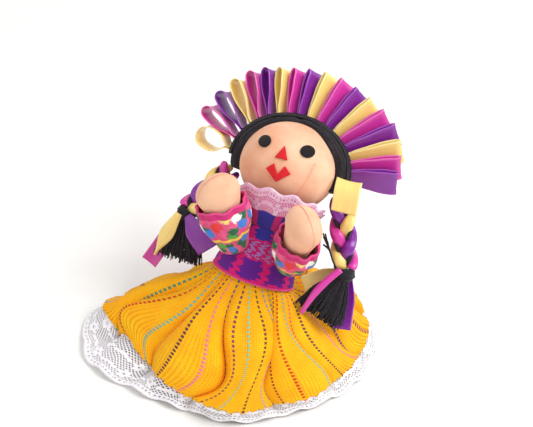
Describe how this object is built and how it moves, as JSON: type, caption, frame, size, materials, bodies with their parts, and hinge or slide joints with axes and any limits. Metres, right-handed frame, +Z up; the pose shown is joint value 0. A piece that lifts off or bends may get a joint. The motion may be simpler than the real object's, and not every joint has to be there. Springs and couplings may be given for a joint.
{
  "type": "cloth doll",
  "caption": "Seated cloth doll with a stuffed head and limbs, felt face, yarn plaits, satin ribbon headdress, woven blouse and a gathered striped skirt with a lace hem.",
  "frame": {"origin": "middle of the flat seat that the doll sits on", "axes": "+Z up, -Y the way the doll faces, +X to the doll's own left"},
  "size_m": [0.1515, 0.1324, 0.1224],
  "materials": {
    "skin_cotton": "peach cotton jersey, tightly stuffed",
    "stuffing": "white polyester fibre",
    "felt_black": "black felt",
    "felt_red": "red felt",
    "yarn": "black yarn",
    "satin_gold": "gold satin ribbon",
    "satin_magenta": "magenta satin ribbon",
    "satin_purple": "purple satin ribbon",
    "blouse_weave": "hand-woven cotton in pink, blue and violet",
    "lace": "white cotton lace",
    "sleeve_print": "pink flowered cotton",
    "skirt_weave": "golden ribbed cotton with dashed stripes"
  },
  "bodies": {
    "torso": {"torso_skin": "skin_cotton", "torso_stuffing": "stuffing", "blouse": "blouse_weave", "collar_lace": "lace", "skirt": "skirt_weave", "hem_lace": "lace"},
    "neck": {"neck_stub": "skin_cotton"},
    "head": {"head_skin": "skin_cotton", "head_stuffing": "stuffing", "left_eye": "felt_black", "right_eye": "felt_black", "nose": "felt_red", "mouth": "felt_red", "hair_cap": "yarn", "headdress_band": "yarn", "ear_flap": "satin_gold", "headdress_loop_01": "satin_gold", "headdress_loop_02": "satin_magenta", "headdress_loop_03": "satin_purple", "headdress_loop_04": "satin_gold", "headdress_loop_05": "satin_magenta", "headdress_loop_06": "satin_purple", "headdress_loop_07": "satin_gold", "headdress_loop_08": "satin_magenta", "headdress_loop_09": "satin_purple", "headdress_loop_10": "satin_gold", "headdress_loop_11": "satin_magenta", "headdress_loop_12": "satin_purple", "headdress_loop_13": "satin_gold", "headdress_loop_14": "satin_magenta", "headdress_loop_15": "satin_purple", "headdress_loop_16": "satin_gold", "headdress_loop_17": "satin_magenta", "headdress_loop_18": "satin_purple"},
    "left_plait": {"left_plait_gold_strand": "satin_gold", "left_plait_magenta_strand": "satin_magenta", "left_plait_purple_strand": "satin_purple", "left_plait_tie": "yarn", "left_tassel": "yarn", "left_gold_tail": "satin_gold", "left_magenta_tail": "satin_magenta", "left_purple_tail": "satin_purple"},
    "right_plait": {"right_plait_gold_strand": "satin_gold", "right_plait_magenta_strand": "satin_magenta", "right_plait_purple_strand": "satin_purple", "right_plait_tie": "yarn", "right_tassel": "yarn", "right_gold_tail": "satin_gold", "right_magenta_tail": "satin_magenta", "right_purple_tail": "satin_purple"},
    "left_arm": {"left_arm_skin": "skin_cotton", "left_arm_stuffing": "stuffing", "left_sleeve": "sleeve_print"},
    "right_arm": {"right_arm_skin": "skin_cotton", "right_arm_stuffing": "stuffing", "right_sleeve": "sleeve_print"},
    "left_leg": {"left_leg_skin": "skin_cotton", "left_leg_stuffing": "stuffing"},
    "right_leg": {"right_leg_skin": "skin_cotton", "right_leg_stuffing": "stuffing"}
  },
  "joints": [
    {"name": "neck_turn", "type": "hinge", "parent": "torso", "child": "neck", "pos_m": [0.01196, 0.02072, 0.06427], "axis": [0.25, 0.433, 0.866], "range_deg": [-10, 10]},
    {"name": "head_nod", "type": "hinge", "parent": "neck", "child": "head", "pos_m": [0.01251, 0.02167, 0.06618], "axis": [0.9649, -0.2626, -0.0083], "range_deg": [-12, 3]},
    {"name": "left_plait_swing", "type": "hinge", "parent": "head", "child": "left_plait", "pos_m": [0.04332, 0.02475, 0.07352], "axis": [-0.2014, -0.7595, 0.6185], "range_deg": [0, 40]},
    {"name": "right_plait_swing", "type": "hinge", "parent": "head", "child": "right_plait", "pos_m": [-0.01228, 0.0402, 0.07439], "axis": [0.2014, 0.7595, -0.6185], "range_deg": [0, 40]},
    {"name": "left_arm_swing", "type": "hinge", "parent": "torso", "child": "left_arm", "pos_m": [0.02093, -0.00174, 0.05212], "axis": [0.9665, -0.058, -0.25], "range_deg": [-4, 40]},
    {"name": "right_arm_swing", "type": "hinge", "parent": "torso", "child": "right_arm", "pos_m": [-0.0077, 0.00237, 0.05833], "axis": [0.9665, -0.058, -0.25], "range_deg": [-10, 40]},
    {"name": "left_leg_swing", "type": "hinge", "parent": "torso", "child": "left_leg", "pos_m": [0.0105, -0.01907, 0.0083], "axis": [0.9272, 0.3746, 0], "range_deg": [0, 80]},
    {"name": "right_leg_swing", "type": "hinge", "parent": "torso", "child": "right_leg", "pos_m": [-0.0105, -0.01907, 0.0083], "axis": [0.9272, -0.3746, 0], "range_deg": [0, 80]}
  ]
}
